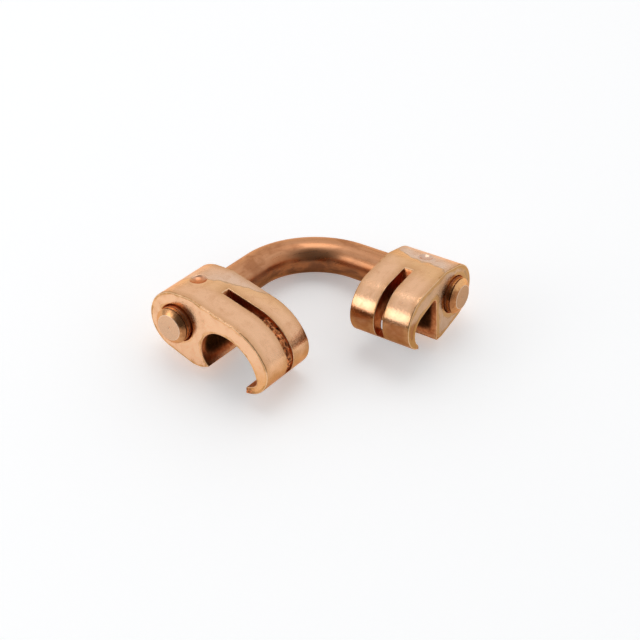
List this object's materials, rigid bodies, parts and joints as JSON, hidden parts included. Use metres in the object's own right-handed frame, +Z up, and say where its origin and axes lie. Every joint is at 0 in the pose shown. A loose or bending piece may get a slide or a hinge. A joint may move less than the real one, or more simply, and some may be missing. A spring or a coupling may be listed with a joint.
{
  "type": "crimp tap connector",
  "caption": "Square-bent round copper rod with a hooked crimp tap swivelling on each leg, joining a ground rod or cable to a conductor that crosses it.",
  "frame": {"origin": "bottom centre of the part's box, on the surface that it lies on", "axes": "+Z up, the main leg of the rod runs towards -Y and the branch leg towards +X, both rising from the bend"},
  "size_m": [0.0812, 0.0846, 0.0287],
  "materials": {
    "rod_copper": "drawn copper, satin, browned in places",
    "main_tap_copper": "bare extruded copper, satin, with stained edges",
    "branch_tap_copper": "bare extruded copper, satin, with stained edges"
  },
  "bodies": {
    "rod": {"bent_rod": "rod_copper"},
    "main_tap": {"main_tap": "main_tap_copper"},
    "branch_tap": {"branch_tap": "branch_tap_copper"}
  },
  "joints": [
    {"name": "main_tap_swivel", "type": "hinge", "parent": "rod", "child": "main_tap", "pos_m": [-0.02918, -0.02602, 0.01449], "axis": [-0.0178, -0.9816, 0.19], "continuous": true},
    {"name": "branch_tap_swivel", "type": "hinge", "parent": "rod", "child": "branch_tap", "pos_m": [0.02511, 0.03139, 0.01353], "axis": [0.9828, 0.0178, 0.1837], "continuous": true}
  ]
}
